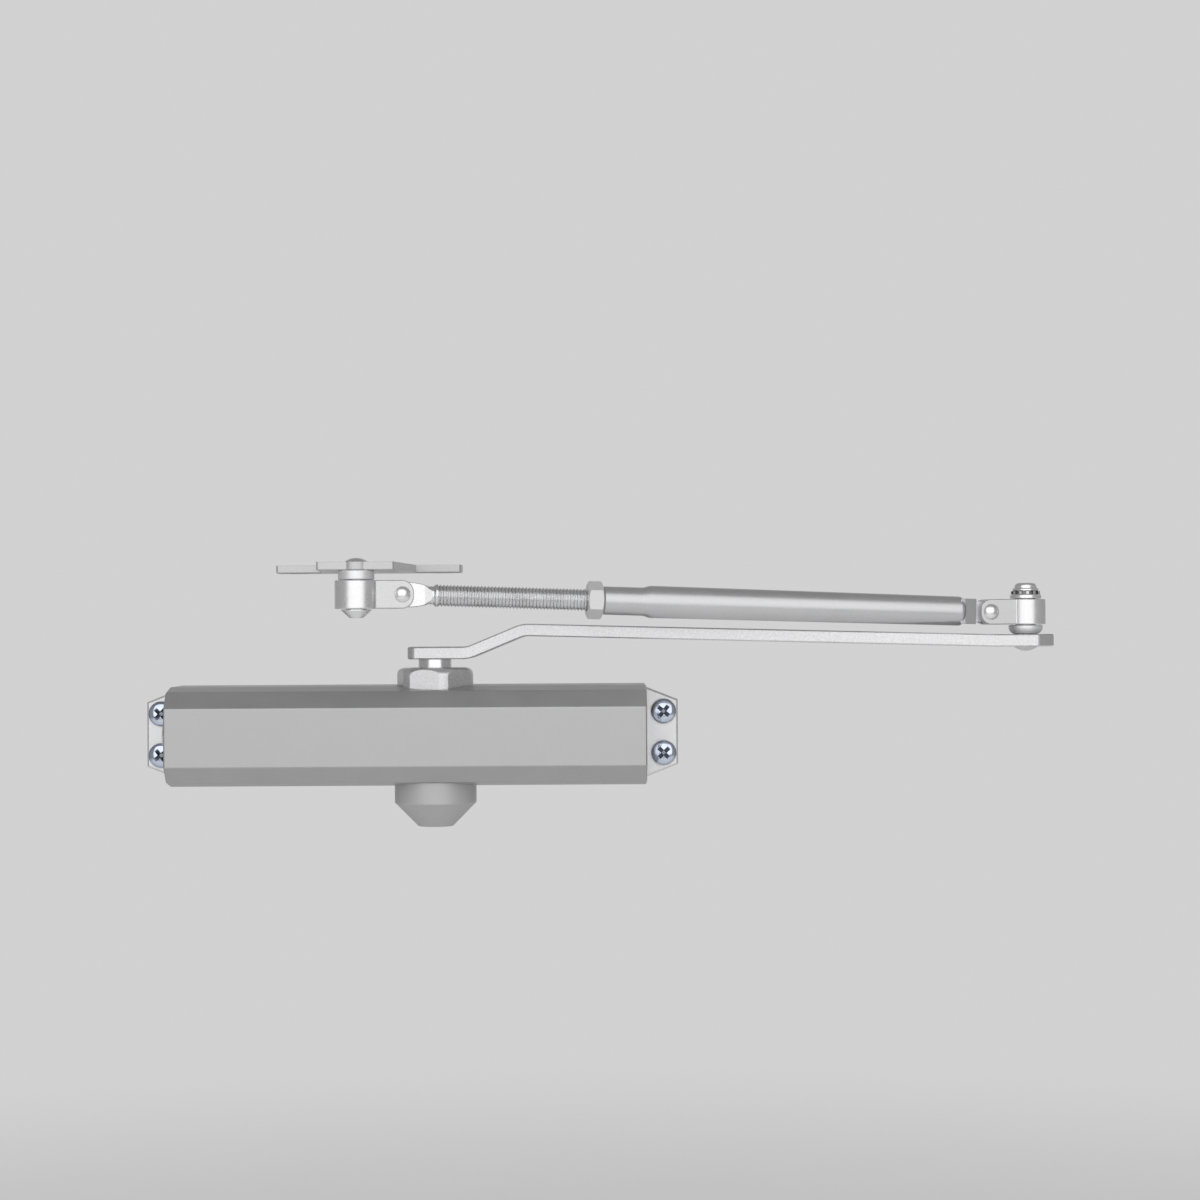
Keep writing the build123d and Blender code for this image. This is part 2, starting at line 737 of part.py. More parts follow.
def seal_ring(label, x, y, z, groove_radius, depth, width):
    """Rubber ring round a shaft along X, centred in a groove that starts at x."""
    with BuildPart() as ring:
        with BuildSketch(Plane((x + width / 2, y, z), x_dir=(0, 0, 1), z_dir=(0, -1, 0))):
            with Locations((groove_radius + depth / 2, 0)):
                Circle(depth / 2 - fit_gap)
        revolve(axis=Axis((x, y, z), (1, 0, 0)))
    ring.part.label = label
    return ring.part


plug_groove_x = body_end - plug_length + plug_groove_width
spring_end_plug = end_plug("spring_end_plug", -body_end, 1,
                           power_screw_radius + running_gap, 0)
valve_end_plug = end_plug("valve_end_plug", body_end, -1, 0, plug_socket_depth)
valve_end_seal = seal_ring("valve_end_seal", plug_groove_x, bore_y, 0,
                           plug_radius - plug_groove_depth, plug_groove_depth,
                           plug_groove_width)
spring_end_seal = seal_ring("spring_end_seal", -plug_groove_x - plug_groove_width, bore_y, 0,
                            plug_radius - plug_groove_depth, plug_groove_depth,
                            plug_groove_width)

# Force screw through the left plug: a collar inside, a hexagon head outside
power_collar_x = -body_end + plug_length + face_gap
with BuildPart() as power_screw:
    with BuildSketch(section_at(-body_end)):
        Circle(power_screw_radius)
    extrude(amount=power_screw_length)
    with BuildSketch(section_at(power_collar_x)):
        Circle(power_collar_radius)
    extrude(amount=power_collar_length)
    with BuildSketch(section_at(-body_end - face_gap)):
        hexagon(power_head_flats)
    extrude(amount=-power_head_length)
    chamfer(power_screw.faces().sort_by(Axis.X)[0].edges(), length=end_chamfer)
    with BuildSketch(section_at(-body_end)):
        Circle(power_screw_radius)
    extrude(amount=-face_gap)
power_screw.part.label = "power_screw"

# Spring seat: a disc that the screw moves, with a hub that centres the spring
with BuildPart() as spring_seat:
    with BuildSketch(section_at(spring_seat_x)):
        Circle(bore_radius - face_gap)
    extrude(amount=spring_seat_thickness)
    with BuildSketch(section_at(spring_seat_x + spring_seat_thickness)):
        Circle(spring_coil_radius - spring_wire_radius - free_gap)
    extrude(amount=spring_seat_hub)
    with BuildSketch(section_at(spring_seat_x)):
        Circle(power_screw_radius + running_gap)
    extrude(amount=spring_seat_thickness + spring_seat_hub, mode=Mode.SUBTRACT)
spring_seat.part.label = "spring_seat"

# Closing spring: round wire wound from the seat to the piston
spring_start = spring_seat_x + spring_seat_thickness + spring_wire_radius + spring_end_gap
spring_end = piston_left - spring_wire_radius - spring_end_gap
spring_length = spring_end - spring_start
with BuildPart() as main_spring:
    with BuildLine() as spring_wire:
        Helix(spring_length / spring_turns, spring_length, spring_coil_radius,
              center=(spring_start, bore_y, 0), direction=(1, 0, 0))
    with BuildSketch(Plane(spring_wire.line @ 0, z_dir=spring_wire.line % 0)):
        Circle(spring_wire_radius)
    sweep(is_frenet=True)
main_spring.part.label = "main_spring"


def speed_valve(label, y, z):
    """Valve screw along X: slotted head, stem with a seal groove, needle tip."""
    head_x = body_end - valve_head_depth
    stem_x = head_x - valve_head_length
    with BuildPart() as valve:
        with BuildSketch(section_at(head_x)):
            with Locations((y - bore_y, z)):
                Circle(valve_head_radius)
        extrude(amount=-valve_head_length)
        with BuildSketch(section_at(stem_x)):
            with Locations((y - bore_y, z)):
                Circle(valve_stem_radius)
        extrude(amount=-valve_stem_length)
        chamfer(valve.edges().sort_by(Axis.X)[0], length=valve_tip_length,
                length2=valve_stem_radius - valve_tip_radius)
        with BuildSketch(section_at(stem_x - valve_seal_groove)):
            with Locations((y - bore_y, z)):
                Circle(valve_stem_radius)
                Circle(valve_stem_radius - valve_seal_depth, mode=Mode.SUBTRACT)
        extrude(amount=-valve_seal_groove, mode=Mode.SUBTRACT)
        with BuildSketch(section_at(head_x)):
            with Locations((y - bore_y, z)):
                Rectangle(2 * valve_head_radius, valve_slot_width)
        extrude(amount=-valve_slot_depth, mode=Mode.SUBTRACT)
    valve.part.label = label
    return valve.part


valve_names = ("sweep", "latch", "backcheck")
speed_valves = []
valve_seals = []
for valve_name, (valve_y, valve_z) in zip(valve_names, valve_places):
    speed_valves.append(speed_valve(valve_name + "_valve", valve_y, valve_z))
    groove_start = body_end - valve_head_depth - valve_head_length - 2 * valve_seal_groove
    valve_seals.append(seal_ring(valve_name + "_valve_seal", groove_start, valve_y, valve_z,
                                 valve_stem_radius - valve_seal_depth, valve_seal_depth,
                                 valve_seal_groove))

# Main arm: side profile traced along a cranked line, cut to its outline from above
with BuildPart() as main_arm:
    with BuildSketch(arm_side):
        with BuildLine():
            FilletPolyline(
                (-arm_start, arm_middle),
                (arm_bend_start, arm_middle),
                (arm_bend_end, arm_middle + arm_crank_rise),
                (arm_length - arm_level_length, arm_middle + arm_crank_rise - arm_elbow_drop),
                (arm_length + arm_end, arm_middle + arm_crank_rise - arm_elbow_drop),
                radius=arm_bend_radius,
            )
        trace(line_width=arm_thickness)
    extrude(amount=arm_width_pinion, both=True)
    with BuildSketch(arm_plan) as outline:
        with BuildLine():
            Polyline(
                (-arm_start, arm_width_pinion / 2),
                (arm_length + arm_end, arm_width_elbow / 2),
                (arm_length + arm_end, -arm_width_elbow / 2),
                (-arm_start, -arm_width_pinion / 2),
                close=True,
            )
        make_face()
        chamfer(outline.vertices().sort_by(Axis.X)[:2], length=arm_pinion_corner)
        chamfer(outline.vertices().sort_by(Axis.X)[-2:], length=arm_elbow_corner)
    extrude(amount=arm_top + arm_crank_rise + arm_thickness, mode=Mode.INTERSECT)
    chamfer(main_arm.edges(), length=arm_edge_chamfer)
    # Square drive and sunk seat for the arm screw, and the rivet hole at the elbow
    with BuildSketch(arm_plan.offset(arm_bottom)):
        Rectangle(drive_square + 2 * fit_gap, drive_square + 2 * fit_gap)
    extrude(amount=arm_thickness, mode=Mode.SUBTRACT)
    with BuildSketch(arm_plan.offset(arm_top)):
        Circle(arm_screw_head_radius + running_gap)
    extrude(amount=-arm_screw_sink, mode=Mode.SUBTRACT)
    with BuildSketch(level_at(elbow_x, elbow_y, elbow_arm_bottom)):
        Circle(elbow_stud_radius + fit_gap)
    extrude(amount=arm_thickness, mode=Mode.SUBTRACT)
main_arm.part.label = "main_arm"

with BuildPart() as arm_screw:
    with BuildSketch(arm_plan.offset(arm_top - arm_screw_sink)):
        Circle(arm_screw_head_radius)
    extrude(amount=arm_screw_head_height)
    with BuildSketch(arm_plan.offset(arm_top - arm_screw_sink)):
        Circle(arm_screw_radius - fit_gap)
    extrude(amount=-arm_screw_length)
    with BuildSketch(arm_plan.offset(arm_top - arm_screw_sink + arm_screw_head_height)):
        hexagon(arm_screw_socket)
    extrude(amount=-arm_screw_socket, mode=Mode.SUBTRACT)
arm_screw.part.label = "arm_screw"

# Elbow stud: riveted into the arm from below, tapped for the screw above
with BuildPart() as elbow_stud:
    add(rivet_head(elbow_centre + Vector(0, 0, elbow_arm_bottom), Vector(0, 0, -1),
                   elbow_rivet_radius, elbow_rivet_height))
    with BuildSketch(level_at(elbow_x, elbow_y, elbow_arm_bottom)):
        Circle(elbow_stud_radius)
    extrude(amount=elbow_stud_top - elbow_arm_bottom)
    with BuildSketch(level_at(elbow_x, elbow_y, elbow_stud_top)):
        Circle(stud_thread_radius)
    extrude(amount=-stud_thread_depth, mode=Mode.SUBTRACT)
elbow_stud.part.label = "elbow_stud"

elbow_spacer = turned_ring("elbow_spacer", elbow_centre, elbow_arm_top, elbow_spacer_height,
                           elbow_spacer_radius, elbow_stud_radius + fit_gap, spacer_edge,
                           spacer_foot_round)
elbow_washer = turned_ring("elbow_washer", elbow_centre, elbow_stud_top, elbow_washer_height,
                           elbow_washer_radius, stud_thread_radius + fit_gap, elbow_washer_round,
                           washer_edge)

# Lock washer with a ring of teeth round its rim
with BuildPart() as elbow_lock_washer:
    with BuildSketch(level_at(elbow_x, elbow_y, lock_washer_bottom)):
        Circle(lock_washer_radius)
        Circle(stud_thread_radius + fit_gap, mode=Mode.SUBTRACT)
        with PolarLocations(lock_washer_radius, lock_washer_teeth,
                            start_angle=180 / lock_washer_teeth - 90):
            Rectangle(2 * lock_washer_tooth_depth, lock_washer_gap, mode=Mode.SUBTRACT)
    extrude(amount=lock_washer_height)
elbow_lock_washer.part.label = "elbow_lock_washer"

with BuildPart() as elbow_screw:
    with BuildSketch(level_at(elbow_x, elbow_y, elbow_screw_seat)):
        Circle(elbow_screw_band_radius)
    extrude(amount=elbow_screw_band_height)
    chamfer(elbow_screw.edges(), length=washer_edge)
    with BuildSketch(level_at(elbow_x, elbow_y, elbow_screw_seat + elbow_screw_band_height)):
        Circle(elbow_screw_dome_radius)
    extrude(amount=elbow_screw_dome_height)
    fillet(elbow_screw.edges().sort_by(Axis.Z)[-1], radius=elbow_screw_dome_round)
    with BuildSketch(level_at(elbow_x, elbow_y, elbow_screw_top)):
        hexagon(elbow_screw_socket_flats)
    extrude(amount=-elbow_screw_socket_depth, mode=Mode.SUBTRACT)
    with BuildSketch(level_at(elbow_x, elbow_y, elbow_screw_seat)):
        Circle(stud_thread_radius - fit_gap)
    extrude(amount=elbow_stud_top - elbow_screw_seat - stud_thread_depth + free_gap)
elbow_screw.part.label = "elbow_screw"

elbow_knuckle = forked_knuckle(
    "elbow_knuckle", elbow_centre, -forearm_heading, elbow_knuckle_bottom,
    elbow_knuckle_height, elbow_knuckle_radius, elbow_ear_half, elbow_ear_reach,
    elbow_pin_reach, elbow_slot, elbow_stud_radius, tang_radius)
elbow_pin = cross_pin("elbow_pin", elbow_pin_point, elbow_ear_half)

shoe_knuckle = forked_knuckle(
    "shoe_knuckle", shoe_centre, forearm_heading, shoe_knuckle_bottom,
    shoe_knuckle_height, shoe_knuckle_radius, shoe_ear_half, shoe_ear_reach,
    shoe_pin_reach, shoe_slot, shoe_stud_radius, rod_eye_radius)
shoe_pin = cross_pin("shoe_pin", shoe_pin_point, shoe_ear_half)

# Forearm rod: a flattened eye that swells into the threaded shank
with BuildPart() as forearm_rod:
    with BuildSketch(forearm_side):
        with BuildLine():
            Polyline(
                (0, rod_eye_radius),
                (-rod_eye_radius, rod_eye_radius),
                (-rod_eye_radius, 0),
                (rod_end, 0),
                (rod_end, rod_radius),
                (rod_thread_start, rod_radius),
                (rod_neck_end, rod_neck_radius),
                (rod_neck_start, rod_neck_radius),
            )
            Bezier((0, rod_eye_radius), (rod_eye_shoulder, rod_eye_radius),
                   (rod_neck_start, rod_neck_radius))
        make_face()
    revolve(axis=forearm_axis)
    with BuildSketch(forearm_side):
        Circle(rod_eye_radius)
        Rectangle(rod_end, 2 * rod_eye_radius, align=(Align.MIN, Align.CENTER))
    extrude(amount=rod_eye_radius, both=True, mode=Mode.INTERSECT)
    with BuildSketch(forearm_plan):
        with BuildLine():
            Polyline(
                (-2 * rod_eye_radius, eye_half),
                (rod_flat_end, eye_half),
                (rod_neck_end, rod_neck_radius),
                (rod_thread_start, rod_eye_radius),
                (rod_end, rod_eye_radius),
            )
            mirror(about=Plane.XZ)
            Line((-2 * rod_eye_radius, -eye_half), (-2 * rod_eye_radius, eye_half))
            Line((rod_end, -rod_eye_radius), (rod_end, rod_eye_radius))
        make_face()
    extrude(amount=rod_eye_radius, both=True, mode=Mode.INTERSECT)
    with BuildSketch(forearm_side):
        Circle(pin_radius + running_gap)
    extrude(amount=rod_eye_radius, both=True, mode=Mode.SUBTRACT)
    chamfer(forearm_rod.faces().sort_by(forearm_axis)[-1].edges(), length=rod_end_chamfer)
forearm_rod.part.label = "forearm_rod"

with BuildPart() as lock_nut:
    with BuildSketch(forearm_section(lock_nut_start)):
        hexagon(lock_nut_flats, lock_nut_tilt)
    extrude(amount=lock_nut_length)
    with BuildSketch(forearm_side):
        with BuildLine():
            Polyline(
                (lock_nut_start, 0),
                (lock_nut_start, nut_corner - 2 * lock_nut_chamfer),
                (lock_nut_start + lock_nut_chamfer, nut_corner),
                (lock_nut_end - lock_nut_chamfer, nut_corner),
                (lock_nut_end, nut_corner - 2 * lock_nut_chamfer),
                (lock_nut_end, 0),
                close=True,
            )
        make_face()
    revolve(axis=forearm_axis, mode=Mode.INTERSECT)
    with BuildSketch(forearm_section(lock_nut_start)):
        Circle(rod_radius + running_gap)
    extrude(amount=lock_nut_length, mode=Mode.SUBTRACT)
lock_nut.part.label = "lock_nut"

# Forearm tube: swaged neck, long tapering barrel, milled flat and a tang with an eye
with BuildPart() as forearm_tube:
    with BuildSketch(forearm_side):
        with BuildLine():
            neck = Line((tube_start, tube_neck_radius), (neck_end, tube_neck_radius))
            barrel = Line((barrel_start, tube_start_radius), (tube_end, tube_end_radius))
            Bezier(neck @ 1, (swage_middle, tube_neck_radius), (swage_middle, tube_start_radius),
                   barrel @ 0)
            Polyline(barrel @ 1, (tube_end, 0), (tube_start, 0), neck @ 0)
        make_face()
    revolve(axis=forearm_axis)
    end_faces = forearm_tube.faces().filter_by(GeomType.PLANE).sort_by(forearm_axis)
    fillet(end_faces[-1].edges(), radius=tube_end_round)
    chamfer(end_faces[0].edges(), length=tube_mouth_chamfer)
    with BuildSketch(forearm_plan):
        with BuildLine():
            Polyline(
                (tube_end - tube_end_round, tube_flat_start_half),
                (flat_end, tube_flat_end_half),
                (flat_end, -tube_flat_end_half),
                (tube_end - tube_end_round, -tube_flat_start_half),
                close=True,
            )
        make_face()
    extrude(amount=tube_flat_height / 2, both=True)
    with BuildSketch(forearm_side):
        with Locations((flat_end, 0)):
            Rectangle(tube_flat_setback, 2 * tang_radius, align=(Align.MIN, Align.CENTER))
        with Locations((forearm_span, 0)):
            Circle(tang_radius)
    extrude(amount=tang_half, both=True)
    with BuildSketch(forearm_side):
        with Locations((forearm_span, 0)):
            Circle(pin_radius + running_gap)
    extrude(amount=tang_half, both=True, mode=Mode.SUBTRACT)
    with BuildSketch(forearm_section(tube_start)):
        Circle(rod_radius + running_gap)
    extrude(amount=rod_engagement + rod_travel + free_gap, mode=Mode.SUBTRACT)
forearm_tube.part.label = "forearm_tube"

# Shoe stack: stud riveted over in the bracket, spacer, and the cone headed screw below
standing = (Align.CENTER, Align.CENTER, Align.MIN)
rivet_sink_place = (shoe_x, shoe_y, bracket_top - shoe_rivet_sink)
with BuildPart() as shoe_stud:
    add(rivet_head(shoe_centre + Vector(0, 0, bracket_top), Vector(0, 0, 1),
                   shoe_rivet_radius, shoe_rivet_height))
    with BuildSketch(level_at(shoe_x, shoe_y, shoe_stud_bottom)):
        Circle(shoe_stud_radius)
    extrude(amount=bracket_top - shoe_stud_bottom)
    with Locations(rivet_sink_place):
        Cone(shoe_stud_radius, shoe_rivet_radius, shoe_rivet_sink, align=standing)
    with BuildSketch(level_at(shoe_x, shoe_y, shoe_stud_bottom)):
        Circle(stud_thread_radius)
    extrude(amount=stud_thread_depth, mode=Mode.SUBTRACT)
shoe_stud.part.label = "shoe_stud"

shoe_spacer = turned_ring("shoe_spacer", shoe_centre, shoe_spacer_bottom, shoe_spacer_height,
                          shoe_spacer_radius, shoe_stud_radius + fit_gap, spacer_edge,
                          spacer_edge)

with BuildPart() as shoe_screw:
    with BuildSketch(Plane(shoe_centre, x_dir=(1, 0, 0), z_dir=(0, -1, 0))):
        with BuildLine():
            Polyline(
                (0, shoe_stud_bottom),
                (shoe_cone_radius, shoe_stud_bottom),
                (shoe_cone_radius, shoe_stud_bottom - shoe_cone_rim),
                (shoe_cone_tip_radius, shoe_stud_bottom - shoe_cone_height),
                (0, shoe_stud_bottom - shoe_cone_height),
                close=True,
            )
        make_face()
    revolve(axis=Axis(shoe_centre, (0, 0, 1)))
    with BuildSketch(level_at(shoe_x, shoe_y, shoe_stud_bottom)):
        Circle(stud_thread_radius - fit_gap)
    extrude(amount=shoe_screw_length)
    with BuildSketch(level_at(shoe_x, shoe_y, shoe_stud_bottom - shoe_cone_height)):
        hexagon(shoe_socket_flats)
    extrude(amount=shoe_socket_depth, mode=Mode.SUBTRACT)
shoe_screw.part.label = "shoe_screw"

# Bracket plate: narrow nose, flaring neck and a wide flange at the back
with BuildPart() as bracket_plate:
    with BuildSketch(level_at(shoe_x, 0, bracket_bottom)):
        with BuildLine():
            Polyline(
                (0, bracket_nose_y),
                (bracket_nose_width / 2, bracket_nose_y),
                (bracket_neck_width / 2, bracket_flange_front),
                (bracket_flange_width / 2, bracket_flange_front),
                (bracket_flange_width / 2, bracket_flange_back),
                (0, bracket_flange_back),
            )
            mirror(about=Plane.YZ)
        make_face()
    extrude(amount=bracket_thickness)
    plate_corners = bracket_plate.edges().filter_by(Axis.Z).filter_by(
        lambda edge: abs(edge.center().Y - bracket_flange_front) > bracket_corner
        or abs(edge.center().X - shoe_x) > bracket_neck_width / 2 + bracket_corner)
    fillet(plate_corners, radius=bracket_corner)
    with BuildSketch(level_at(shoe_x, shoe_y, bracket_bottom)):
        Circle(bracket_lobe_radius)
    extrude(amount=bracket_thickness)
    chamfer(bracket_plate.faces().sort_by(Axis.Z)[0].edges(), length=bracket_edge)
    with BuildSketch(level_at(shoe_x, shoe_y, bracket_bottom)):
        Circle(shoe_stud_radius + fit_gap)
    extrude(amount=bracket_thickness, mode=Mode.SUBTRACT)
    with Locations(rivet_sink_place):
        Cone(shoe_stud_radius + fit_gap, shoe_rivet_radius + fit_gap, shoe_rivet_sink,
             align=standing, mode=Mode.SUBTRACT)
    with Locations(*[Location(place, (180, 0, 0)) for place in bracket_hole_places]):
        CounterSinkHole(bracket_hole_radius, bracket_sink_radius, depth=bracket_thickness)
bracket_plate.part.label = "bracket_plate"

os.makedirs("parts", exist_ok=True)
built = [
    housing, mounting_screws, top_bearing_nut, pinion, pinion_cap, piston, check_seat,
    check_ball, power_screw, spring_seat, main_spring, main_arm, arm_screw, elbow_stud,
    elbow_lock_washer, elbow_screw, forearm_rod, lock_nut, forearm_tube, shoe_stud,
    shoe_screw, bracket_plate,
]
pieces = [piece.part for piece in built] + [
    bottom_bearing_nut, upper_bearing, upper_seal, lower_bearing, lower_seal,
    spring_end_plug, valve_end_plug, valve_end_seal, spring_end_seal, elbow_spacer,
    elbow_washer, elbow_knuckle, elbow_pin, shoe_knuckle, shoe_pin, shoe_spacer,
] + speed_valves + valve_seals
for piece in pieces:
    export_step(piece, "parts/" + piece.label + ".step")
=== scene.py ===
import json
from math import cos, pi, radians, sin, tau

import bmesh
import bpy
from mathutils import Matrix, Vector


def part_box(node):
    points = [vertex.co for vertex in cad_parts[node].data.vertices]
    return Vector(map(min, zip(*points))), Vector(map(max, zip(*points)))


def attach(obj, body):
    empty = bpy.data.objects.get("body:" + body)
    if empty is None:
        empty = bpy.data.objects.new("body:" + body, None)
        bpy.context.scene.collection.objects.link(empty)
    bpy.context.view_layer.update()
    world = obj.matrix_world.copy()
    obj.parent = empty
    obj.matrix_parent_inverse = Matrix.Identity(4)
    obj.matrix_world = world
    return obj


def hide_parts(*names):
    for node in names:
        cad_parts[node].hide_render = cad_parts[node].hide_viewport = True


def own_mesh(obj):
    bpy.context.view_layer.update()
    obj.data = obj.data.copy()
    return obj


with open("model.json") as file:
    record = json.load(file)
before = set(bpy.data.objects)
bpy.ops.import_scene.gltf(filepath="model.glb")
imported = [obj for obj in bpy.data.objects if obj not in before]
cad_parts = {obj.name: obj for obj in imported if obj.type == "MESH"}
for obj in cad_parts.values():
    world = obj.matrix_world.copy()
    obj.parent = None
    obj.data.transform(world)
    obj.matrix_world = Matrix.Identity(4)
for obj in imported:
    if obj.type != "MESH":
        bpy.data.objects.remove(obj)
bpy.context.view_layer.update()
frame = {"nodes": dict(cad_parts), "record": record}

MM = 0.001

# Camera, measured from the photograph
CAMERA_PLACE = (0.0863, -1.208, 0.0496)
CAMERA_PITCH = radians(90.523)
CAMERA_ROLL = radians(-0.33)
CAMERA_LENS = 78.48
CAMERA_SENSOR = 36.0

# Forearm line, from the shoe pin to the elbow pin
SHOE_PIN = Vector((0.5675, -76.9902, 62.8)) * MM
FOREARM_LINE = Vector((0.987577, 0.153475, -0.033740))
PIN_LINE = Vector((0.153562, -0.988139, 0.0))

# Threaded shank of the forearm rod, along the forearm line
ROD_THREAD_START = 14.0 * MM
ROD_THREAD_END = 132.9 * MM
ROD_RADIUS = 4.83 * MM
ROD_PITCH = 1.5 * MM
ROD_THREAD_DEPTH = 0.62 * MM

# Lock nut, turned from a corner to a flat
LOCK_NUT_TURN = radians(23.0)

# Mounting screws
SCREW_RADIUS = 3.0 * MM
SCREW_SHANK_RADIUS = 3.2 * MM
SCREW_GRIP = 14.0 * MM
SCREW_PITCH = 1.0 * MM
SCREW_THREAD_DEPTH = 0.55 * MM
SCREW_HEAD_RADIUS = 5.8 * MM
SCREW_HEAD_HEIGHT = 3.4 * MM
SCREW_HEAD_RIM = 0.77 * MM
SCREW_DOME_STEPS = 9
SCREW_DOME_POWER = 0.72
EAR_THICKNESS = 8.0 * MM
RECESS_SPAN = 7.6 * MM
RECESS_WIDTH = 1.9 * MM
RECESS_DEPTH = 3.1 * MM
RECESS_FLOOR_SHARE = 0.2
RECESS_FLOOR_WIDTH_SHARE = 0.7
RECESS_TOP_SHARE = 1.12
RECESS_TOP_HEIGHT = 4.08 * MM
RECESS_TURNS = (38.0, 47.0, 44.0, 50.0)

# Closing spring: travel of the piston and of the seat that press on its ends
PISTON_TRAVEL = 19.7 * MM
SEAT_TRAVEL = 9.0 * MM

# Meshes: steps round a turned form, points across a thread, and the six faces of a block
ROUND_STEPS = 40
THREAD_ROWS = 8
THREAD_CREST_POWER = 0.8
SMOOTH_ANGLE = radians(32)
WELD = 1e-7
BLOCK_FACES = ((0, 3, 2, 1), (4, 5, 6, 7), (0, 1, 5, 4), (1, 2, 6, 5), (2, 3, 7, 6), (3, 0, 4, 7))


def new_object(name, mesh):
    """A scene object for a mesh, with faces smooth except across sharp edges."""
    for polygon in mesh.polygons:
        polygon.use_smooth = True
    mesh.set_sharp_from_angle(angle=SMOOTH_ANGLE)
    piece = bpy.data.objects.new(name, mesh)
    bpy.context.scene.collection.objects.link(piece)
    return piece


def mesh_from(name, corners, faces):
    """A mesh from corner points and faces, its normals turned outwards."""
    mesh = bpy.data.meshes.new(name)
    mesh.from_pydata([tuple(corner) for corner in corners], [], faces)
    shape = bmesh.new()
    shape.from_mesh(mesh)
    bmesh.ops.remove_doubles(shape, verts=shape.verts, dist=WELD)
    bmesh.ops.recalc_face_normals(shape, faces=shape.faces)
    shape.to_mesh(mesh)
    shape.free()
    return mesh


def lathe(profile, steps=ROUND_STEPS):
    """Corners and faces of a profile of (radius, height) points turned round Z."""
    corners = []
    for radius, height in profile:
        for step in range(steps):
            angle = tau * step / steps
            corners.append(Vector((radius * cos(angle), radius * sin(angle), height)))
    faces = []
    for row in range(len(profile) - 1):
        for step in range(steps):
            across = (step + 1) % steps
            faces.append((row * steps + step, row * steps + across,
                          (row + 1) * steps + across, (row + 1) * steps + step))
    return corners, faces


def thread(start, end, radius, depth, pitch, steps=ROUND_STEPS):
    """Corners and faces of a screw thread round Z, wound as one strip with rounded crests."""
    rows = [(share, radius - depth * (0.5 - 0.5 * cos(tau * share)) ** THREAD_CREST_POWER)
            for share in (row / THREAD_ROWS for row in range(THREAD_ROWS))]
    turns = int((end - start) / pitch) - 1
    corners = []
    for step in range(turns * steps + 1):
        angle = tau * step / steps
        for share, reach in rows:
            height = start + pitch * (step / steps + share)
            corners.append(Vector((reach * cos(angle), reach * sin(angle), height)))
    count = len(rows)
    faces = []
    for step in range(turns * steps):
        here = step * count
        after = here + count
        for row in range(count - 1):
            faces.append((here + row, after + row, after + row + 1, here + row + 1))
        if step < (turns - 1) * steps:
            above = here + steps * count
            faces.append((here + count - 1, after + count - 1, above + count, above))
    return corners, faces


def joined(*parts):
    """Several lists of corners and faces as one."""
    corners = []
    faces = []
    for part_corners, part_faces in parts:
        shift = len(corners)
        corners += part_corners
        faces += [tuple(index + shift for index in face) for face in part_faces]
    return corners, faces


def placed(part, matrix):
    """The same corners and faces, moved by a matrix."""
    corners, faces = part
    return [matrix @ corner for corner in corners], faces


def axes_matrix(origin, x_axis, y_axis, z_axis):
    """Matrix that carries X, Y and Z to the given axes at the given origin."""
    turn = Matrix((x_axis, y_axis, z_axis)).transposed()
    return Matrix.Translation(origin) @ turn.to_4x4()


# Forearm rod: the eye and neck of the CAD rod, with a real thread on the shank behind it
rod_eye = bmesh.new()
rod_eye.from_mesh(frame["nodes"]["forearm_rod"].data)
bmesh.ops.bisect_plane(
    rod_eye, geom=rod_eye.verts[:] + rod_eye.edges[:] + rod_eye.faces[:],
    plane_co=SHOE_PIN + FOREARM_LINE * (ROD_THREAD_START + ROD_PITCH), plane_no=FOREARM_LINE,
    clear_outer=True)
eye_mesh = bpy.data.meshes.new("forearm_rod_eye")
rod_eye.to_mesh(eye_mesh)
rod_eye.free()
eye_part = ([vertex.co.copy() for vertex in eye_mesh.vertices],
            [tuple(polygon.vertices) for polygon in eye_mesh.polygons])
root_radius = ROD_RADIUS - ROD_THREAD_DEPTH
shank = joined(
    thread(ROD_THREAD_START, ROD_THREAD_END, ROD_RADIUS, ROD_THREAD_DEPTH, ROD_PITCH),
    lathe([(root_radius, ROD_THREAD_START), (root_radius, ROD_THREAD_END - ROD_PITCH),
           (root_radius - ROD_PITCH / 2, ROD_THREAD_END), (0.0, ROD_THREAD_END)]))
rod_axes = axes_matrix(SHOE_PIN, PIN_LINE, FOREARM_LINE.cross(PIN_LINE), FOREARM_LINE)
rod = new_object("threaded_rod", mesh_from(
    "threaded_rod", *joined(eye_part, placed(shank, rod_axes))))


# Lock nut: the CAD nut turned round the rod, so that a flat faces the front
nut_turn = (Matrix.Translation(SHOE_PIN) @ Matrix.Rotation(LOCK_NUT_TURN, 4, FOREARM_LINE)
            @ Matrix.Translation(-SHOE_PIN))
nut_mesh = frame["nodes"]["lock_nut"].data.copy()
nut_mesh.transform(nut_turn)
lock_nut = bpy.data.objects.new("turned_lock_nut", nut_mesh)
bpy.context.scene.collection.objects.link(lock_nut)


def head_profile():
    """Pan head from its rim to the top, as (radius, height) points."""
    points = [(0.0, 0.0), (SCREW_HEAD_RADIUS, 0.0), (SCREW_HEAD_RADIUS, SCREW_HEAD_RIM)]
    rise = SCREW_HEAD_HEIGHT - SCREW_HEAD_RIM
    for step in range(1, SCREW_DOME_STEPS + 1):
        angle = pi / 2 * step / SCREW_DOME_STEPS
        points.append((SCREW_HEAD_RADIUS * cos(angle) ** SCREW_DOME_POWER,
                       SCREW_HEAD_RIM + rise * sin(angle)))
    return points


